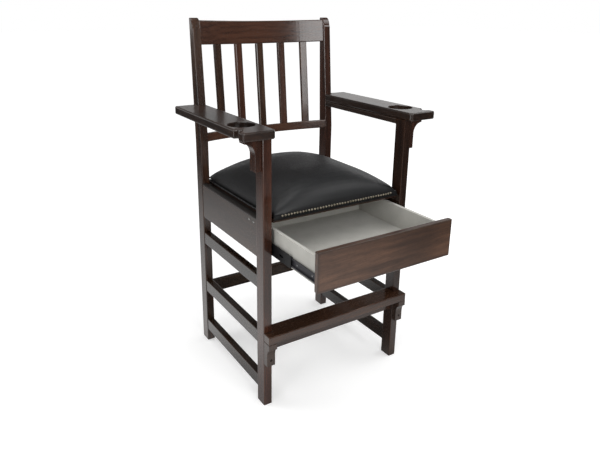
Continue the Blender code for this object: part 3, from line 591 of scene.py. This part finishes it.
# Nailheads. Domed upholstery nails of antique brass, driven by hand through the leather along the
# front edge of the seat board, so no two sit quite alike.
def geometry_tree(title, inputs):
    """An empty geometry tree with named inputs, each with its first value."""
    tree = bpy.data.node_groups.new(title, "GeometryNodeTree")
    tree.interface.new_socket("Geometry", in_out="INPUT", socket_type="NodeSocketGeometry")
    for name, kind, value in inputs:
        socket = tree.interface.new_socket(name, in_out="INPUT", socket_type=kind)
        if value is not None:
            socket.default_value = value
    tree.interface.new_socket("Geometry", in_out="OUTPUT", socket_type="NodeSocketGeometry")
    return tree, tree.nodes.new("NodeGroupInput"), tree.nodes.new("NodeGroupOutput")


def grow(title, tree, values, source=None):
    """A plain smooth mesh made by a geometry tree, its inputs set by name."""
    piece = bpy.data.objects.new(title, source or bpy.data.meshes.new(title))
    scene.collection.objects.link(piece)
    made = piece.modifiers.new(title, "NODES")
    made.node_group = tree
    sockets = {item.name: item.identifier for item in tree.interface.items_tree if item.in_out == "INPUT"}
    for name, value in values.items():
        made[sockets[name]] = value
    bpy.context.view_layer.update()
    result = made_mesh(piece)
    result.name = title
    result.shade_smooth()
    return piece


def metal_finish(title, scale, detail, stops, rough_dark, rough_bright):
    """Bare or plated metal, clouded from one colour and roughness to another."""
    finish, tree, shader, place = new_finish(title)
    patches = cloud(tree, place, scale, detail)
    set_inputs(tree, shader, {"Base Color": ramp(tree, patches, stops), "Metallic": 1.0,
                              "Roughness": stretch(tree, patches, 0.0, 1.0, rough_dark, rough_bright)})
    return finish


NAIL_COUNT = 41
NAIL_PITCH = 0.01158
NAIL_RADIUS = 0.0038
NAIL_RISE = 0.0029
NAIL_SINK = 0.0006       # back from the cushion's front
NAIL_HEIGHT = 0.0072     # over the cushion's foot
nail_tree, nail_in, nail_out = geometry_tree("nail_row", [
    ("Start", "NodeSocketVector", None), ("Pitch", "NodeSocketVector", None),
    ("Count", "NodeSocketInt", NAIL_COUNT), ("Head Radius", "NodeSocketFloat", NAIL_RADIUS),
    ("Head Rise", "NodeSocketFloat", NAIL_RISE), ("Finish", "NodeSocketMaterial", None)])
nail_line = add_node(nail_tree, "GeometryNodeMeshLine", {
    "Count": nail_in.outputs["Count"], "Start Location": nail_in.outputs["Start"],
    "Offset": nail_in.outputs["Pitch"]}, mode="OFFSET")
ball = add_node(nail_tree, "GeometryNodeMeshUVSphere", {"Segments": 12, "Rings": 8,
                                                        "Radius": nail_in.outputs["Head Radius"]})
flatness = sums(nail_tree, "DIVIDE", nail_in.outputs["Head Rise"], nail_in.outputs["Head Radius"])
flattened = add_node(nail_tree, "ShaderNodeCombineXYZ", {"X": 1.0, "Y": flatness, "Z": 1.0})
dome = add_node(nail_tree, "GeometryNodeTransform", {"Geometry": ball.outputs["Mesh"],
                                                     "Scale": flattened.outputs[0]})
missed = add_node(nail_tree, "FunctionNodeRandomValue", {"Min": (-0.0004, -0.0003, -0.0005),
                                                         "Max": (0.0004, 0.0003, 0.0005), "Seed": 7},
                  data_type="FLOAT_VECTOR")
uneven = add_node(nail_tree, "GeometryNodeSetPosition", {"Geometry": nail_line.outputs[0],
                                                         "Offset": missed.outputs["Value"]})
heads = add_node(nail_tree, "GeometryNodeInstanceOnPoints", {"Points": uneven.outputs[0],
                                                             "Instance": dome.outputs[0]})
plain = add_node(nail_tree, "GeometryNodeRealizeInstances", {"Geometry": heads.outputs[0]})
coloured = add_node(nail_tree, "GeometryNodeSetMaterial", {"Geometry": plain.outputs[0],
                                                           "Material": nail_in.outputs["Finish"]})
nail_tree.links.new(coloured.outputs[0], nail_out.inputs[0])
# antique brass, dark and dull in its hollows and rubbed bright elsewhere
nail_brass = metal_finish("nail_brass", 330.0, 4.0, [(0.34, (0.15, 0.125, 0.09)),
                                                     (0.62, (0.55, 0.49, 0.385))], 0.40, 0.22)
nails = grow("seat_nailheads", nail_tree, {
    "Start": (-NAIL_PITCH * (NAIL_COUNT - 1) / 2, seat_low.y + NAIL_SINK, seat_low.z + NAIL_HEIGHT),
    "Pitch": (NAIL_PITCH, 0.0, 0.0), "Count": NAIL_COUNT, "Head Radius": NAIL_RADIUS, "Head Rise": NAIL_RISE,
    "Finish": nail_brass})
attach(nails, "frame")


# Slides. Three nested channels of rolled steel a side, screwed to the apron's packing block and to the
# drawer. The outer and middle ones are stove-coated black, and the drawer's have a greyer coat.
def slide_finish(title, dark, light):
    """Stove coating on rolled steel, drawn out along the channel."""
    finish, tree, shader, place = new_finish(title)
    drag = cloud(tree, drawn_out(tree, place, (500.0, 6.0, 500.0)), 1.0, 3.0)
    set_inputs(tree, shader, {"Base Color": ramp(tree, drag, [(0.35, dark), (0.70, light)]),
                              "Roughness": stretch(tree, drag, 0.0, 1.0, 0.28, 0.50),
                              "Specular IOR Level": 0.22})
    return finish


black_coat = slide_finish("slide_coating", (0.0035, 0.0035, 0.0040), (0.0095, 0.0095, 0.0105))
grey_coat = slide_finish("slide_run_coating", (0.018, 0.018, 0.021), (0.040, 0.039, 0.045))
for side in "lr":
    dress(f"slide_cabinet_{side}", black_coat)
    dress(f"slide_middle_{side}", black_coat)
    dress(f"slide_drawer_{side}", grey_coat)


# Drawer. A plain walnut front, darker along its edges, on a box of thin boards flocked
# inside and out with light grey felt.
def felt_finish():
    """Grey flock: short fibres that scatter light, with faint mottling."""
    finish, tree, shader, place = new_finish("drawer_felt")
    fibre = cloud(tree, place, 900.0, 3.0, 0.7)
    mottle = cloud(tree, place, 24.0, 4.0)
    shade = sums(tree, "ADD", sums(tree, "MULTIPLY", fibre, 0.75), sums(tree, "MULTIPLY", mottle, 0.25))
    bump = add_node(tree, "ShaderNodeBump", {"Height": fibre, "Strength": 0.35, "Distance": 0.0006})
    set_inputs(tree, shader, {
        "Base Color": ramp(tree, shade, [(0.32, (0.365, 0.358, 0.328)), (0.68, (0.510, 0.501, 0.465))]),
        "Normal": bump.outputs[0], "Roughness": 0.95, "Specular IOR Level": 0.1, "Sheen Weight": 0.15})
    return finish


dress("drawer_front", walnut("drawer_front", "x", 2.0, 0.25, satin=0.16, edge_width=0.010, edge_share=0.60,
                             edge_colour=(0.014, 0.008, 0.0055)))
felt = felt_finish()
for board in ("drawer_box_front", "drawer_side_l", "drawer_side_r", "drawer_back", "drawer_bottom"):
    dress(board, felt)

# Screws. Pan heads with crossed slots. Zinc-plated ones go through each apron beside the front leg and
# into each footrest corbel, down in its hole; dark-plated ones hold the slides to the drawer.
HEAD_RADIUS = 0.004
HEAD_RISE = 0.0016
HEAD_SIDES = 12
SLOT_REACH = 0.44 * HEAD_RADIUS
SLOT_WAIST = 0.42        # the cross's inner corners, as a share of its reach
SLOT_TAPER = 0.8         # its floor, as a share of its rim
head_form = bmesh.new()
# the head stands on the XY plane, its crown towards Z: radius and height of each turned step
turned = [(HEAD_RADIUS, 0.0), (HEAD_RADIUS, 0.35 * HEAD_RISE), (0.80 * HEAD_RADIUS, 0.80 * HEAD_RISE),
          (0.52 * HEAD_RADIUS, HEAD_RISE)]
around = [(math.cos(math.tau * k / HEAD_SIDES), math.sin(math.tau * k / HEAD_SIDES))
          for k in range(HEAD_SIDES)]
head_loops = [[head_form.verts.new((reach * x, reach * y, rise)) for x, y in around]
              for reach, rise in turned]
# a cross of three-cornered slots: two corners in three of the sunk loop are drawn in to the middle
cross = [SLOT_REACH * (SLOT_WAIST if k % 3 else 1.0) for k in range(HEAD_SIDES)]
slot_rim = [head_form.verts.new((reach * x, reach * y, 0.98 * HEAD_RISE))
            for reach, (x, y) in zip(cross, around)]
slot_floor = [head_form.verts.new((vert.co.x * SLOT_TAPER, vert.co.y * SLOT_TAPER, 0.25 * HEAD_RISE))
              for vert in slot_rim]
head_loops += [slot_rim, slot_floor]
for near, far in zip(head_loops, head_loops[1:]):
    for k in range(HEAD_SIDES):
        after = (k + 1) % HEAD_SIDES
        head_form.faces.new((near[k], near[after], far[after], far[k]))
head_form.faces.new(reversed(head_loops[0]))
head_form.faces.new(slot_floor)
bmesh.ops.recalc_face_normals(head_form, faces=head_form.faces)
head_mesh = bpy.data.meshes.new("screw_head")
head_form.to_mesh(head_mesh)
head_form.free()
head_pattern = bpy.data.objects.new("screw_head", head_mesh)
scene.collection.objects.link(head_pattern)

screw_tree, screw_in, screw_out = geometry_tree("screw_heads", [
    ("Head", "NodeSocketObject", None), ("Finish", "NodeSocketMaterial", None)])
facing = add_node(screw_tree, "GeometryNodeInputNamedAttribute", {"Name": "facing"}, data_type="FLOAT_VECTOR")
aimed = add_node(screw_tree, "FunctionNodeAlignRotationToVector", {"Vector": facing.outputs[0]}, axis="Z")
# sockets 2 and 3 of a random value are its least and greatest plain number, and output 1 is that number
stopped_at = add_node(screw_tree, "FunctionNodeRandomValue", {2: 0.0, 3: 1.5, "Seed": 4}, data_type="FLOAT")
spin = add_node(screw_tree, "ShaderNodeCombineXYZ", {"Z": stopped_at.outputs[1]})
spun = add_node(screw_tree, "FunctionNodeRotateRotation", {
    "Rotation": aimed.outputs[0], "Rotate By": spin.outputs[0]}, rotation_space="LOCAL")
head_shape = add_node(screw_tree, "GeometryNodeObjectInfo", {"Object": screw_in.outputs["Head"]})
spots = add_node(screw_tree, "GeometryNodeMeshToPoints", {"Mesh": screw_in.outputs["Geometry"]})
set_in = add_node(screw_tree, "GeometryNodeInstanceOnPoints", {
    "Points": spots.outputs[0], "Instance": head_shape.outputs["Geometry"], "Rotation": spun.outputs[0]})
real = add_node(screw_tree, "GeometryNodeRealizeInstances", {"Geometry": set_in.outputs[0]})
plated = add_node(screw_tree, "GeometryNodeSetMaterial", {"Geometry": real.outputs[0],
                                                          "Material": screw_in.outputs["Finish"]})
screw_tree.links.new(plated.outputs[0], screw_out.inputs[0])

zinc = metal_finish("screw_zinc", 420.0, 3.0, [(0.3, (0.38, 0.38, 0.37)), (0.7, (0.66, 0.66, 0.64))],
                    0.22, 0.42)
black_plate = metal_finish("screw_black_plate", 420.0, 3.0, [(0.3, (0.13, 0.13, 0.135)),
                                                             (0.7, (0.30, 0.30, 0.305))], 0.22, 0.42)
apron_low, apron_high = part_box("side_apron_r")
slide_low, slide_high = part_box("slide_drawer_r")
slide_level = (slide_low.z + slide_high.z) / 2
APRON_SCREWS = (0.020, 0.050)                   # back from the apron's front end
APRON_SCREW_DROP = 0.0185                       # below the apron's top
CORBEL_SCREW = (0.290, -0.1825, 0.1927)         # floor of the hole in the right corbel's front
SLIDE_SCREWS = (0.021, 0.105, 0.235, 0.365)     # back from the channel's front end
SLIDE_WEB_FACE = 0.2618                         # outer face of the right drawer channel's web
SHARP_FROM = math.radians(35)
frame_screws = []
drawer_screws = []
for sign in (-1, 1):
    for back in APRON_SCREWS:
        frame_screws.append(((sign * apron_high.x, apron_low.y + back, apron_high.z - APRON_SCREW_DROP),
                             (sign, 0, 0)))
    frame_screws.append(((sign * CORBEL_SCREW[0], *CORBEL_SCREW[1:]), (0, -1, 0)))
    for back in SLIDE_SCREWS:
        drawer_screws.append(((sign * SLIDE_WEB_FACE, slide_low.y + back, slide_level), (sign, 0, 0)))
for title, body, places, plating in (("frame_screws", "frame", frame_screws, zinc),
                                     ("slide_screws", "drawer", drawer_screws, black_plate)):
    spots_mesh = bpy.data.meshes.new(title)
    spots_mesh.from_pydata([place for place, _ in places], [], [])
    aim = spots_mesh.attributes.new("facing", "FLOAT_VECTOR", "POINT")
    for value, (_, direction) in zip(aim.data, places):
        value.vector = direction
    screws = grow(title, screw_tree, {"Head": head_pattern, "Finish": plating}, spots_mesh)
    screws.data.set_sharp_from_angle(angle=SHARP_FROM)
    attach(screws, body)
bpy.data.objects.remove(head_pattern)
